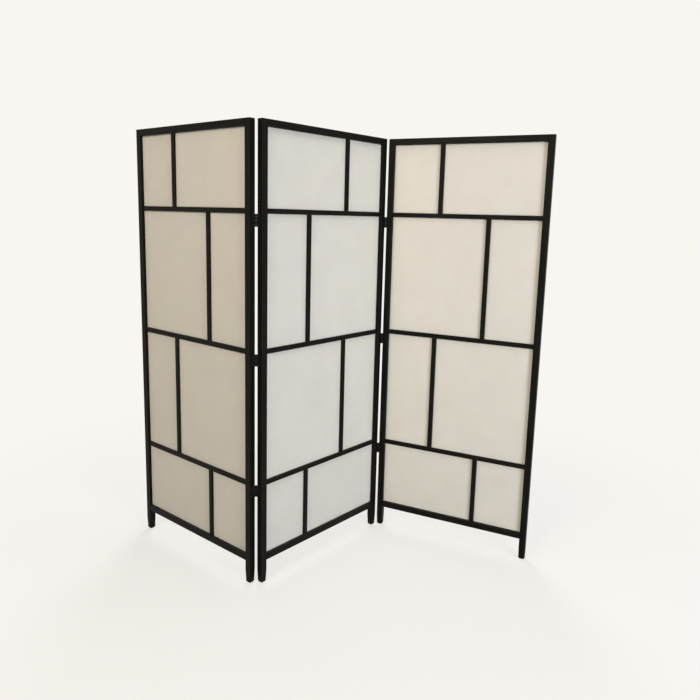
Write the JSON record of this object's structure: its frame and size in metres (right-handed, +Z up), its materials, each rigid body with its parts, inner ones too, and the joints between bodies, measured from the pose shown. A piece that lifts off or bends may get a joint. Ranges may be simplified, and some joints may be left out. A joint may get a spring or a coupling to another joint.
{
  "type": "folding screen",
  "caption": "Free-standing zig-zag folding screen: dark wooden panels with an uneven grid of bars and pale infill sheets, joined edge to edge by butt hinges.",
  "frame": {"origin": "on the floor, at the centre of the footprint of the screen as it stands", "axes": "+Z up; the middle panel lies along X with its visible face towards -Y; the left panel goes back towards +Y and the right panel comes forward towards -Y"},
  "size_m": [1.0522, 1.4436, 1.85],
  "materials": {
    "stained_wood": "black stained softwood, satin, fine grain",
    "infill_sheet": "off-white translucent laminated paper, matte",
    "hinge_steel": "black enamelled pressed steel, semi-gloss"
  },
  "bodies": {
    "middle_panel": {"middle_panel_left_stile": "stained_wood", "middle_panel_right_stile": "stained_wood", "middle_panel_top_rail": "stained_wood", "middle_panel_upper_cross_rail": "stained_wood", "middle_panel_middle_cross_rail": "stained_wood", "middle_panel_lower_cross_rail": "stained_wood", "middle_panel_bottom_rail": "stained_wood", "middle_panel_row_1_muntin": "stained_wood", "middle_panel_row_1_sheet": "infill_sheet", "middle_panel_row_2_muntin": "stained_wood", "middle_panel_row_2_sheet": "infill_sheet", "middle_panel_row_3_muntin": "stained_wood", "middle_panel_row_3_sheet": "infill_sheet", "middle_panel_row_4_muntin": "stained_wood", "middle_panel_row_4_sheet": "infill_sheet", "upper_left_hinge_pin_leaf": "hinge_steel", "middle_left_hinge_pin_leaf": "hinge_steel", "lower_left_hinge_pin_leaf": "hinge_steel", "upper_right_hinge_pin_leaf": "hinge_steel", "middle_right_hinge_pin_leaf": "hinge_steel", "lower_right_hinge_pin_leaf": "hinge_steel"},
    "left_panel": {"left_panel_left_stile": "stained_wood", "left_panel_right_stile": "stained_wood", "left_panel_top_rail": "stained_wood", "left_panel_upper_cross_rail": "stained_wood", "left_panel_middle_cross_rail": "stained_wood", "left_panel_lower_cross_rail": "stained_wood", "left_panel_bottom_rail": "stained_wood", "left_panel_row_1_muntin": "stained_wood", "left_panel_row_1_sheet": "infill_sheet", "left_panel_row_2_muntin": "stained_wood", "left_panel_row_2_sheet": "infill_sheet", "left_panel_row_3_muntin": "stained_wood", "left_panel_row_3_sheet": "infill_sheet", "left_panel_row_4_muntin": "stained_wood", "left_panel_row_4_sheet": "infill_sheet", "upper_left_hinge_outer_leaf": "hinge_steel", "middle_left_hinge_outer_leaf": "hinge_steel", "lower_left_hinge_outer_leaf": "hinge_steel"},
    "right_panel": {"right_panel_left_stile": "stained_wood", "right_panel_right_stile": "stained_wood", "right_panel_top_rail": "stained_wood", "right_panel_upper_cross_rail": "stained_wood", "right_panel_middle_cross_rail": "stained_wood", "right_panel_lower_cross_rail": "stained_wood", "right_panel_bottom_rail": "stained_wood", "right_panel_row_1_muntin": "stained_wood", "right_panel_row_1_sheet": "infill_sheet", "right_panel_row_2_muntin": "stained_wood", "right_panel_row_2_sheet": "infill_sheet", "right_panel_row_3_muntin": "stained_wood", "right_panel_row_3_sheet": "infill_sheet", "right_panel_row_4_muntin": "stained_wood", "right_panel_row_4_sheet": "infill_sheet", "upper_right_hinge_outer_leaf": "hinge_steel", "middle_right_hinge_outer_leaf": "hinge_steel", "lower_right_hinge_outer_leaf": "hinge_steel"}
  },
  "joints": [
    {"name": "left_fold", "type": "hinge", "parent": "middle_panel", "child": "left_panel", "pos_m": [-0.44146, 0.0022, 0], "axis": [0, 0, 1], "range_deg": [-94.2, 85.8]},
    {"name": "right_fold", "type": "hinge", "parent": "middle_panel", "child": "right_panel", "pos_m": [0.28254, -0.0338, 0], "axis": [0, 0, 1], "range_deg": [-107.2, 72.8]}
  ]
}
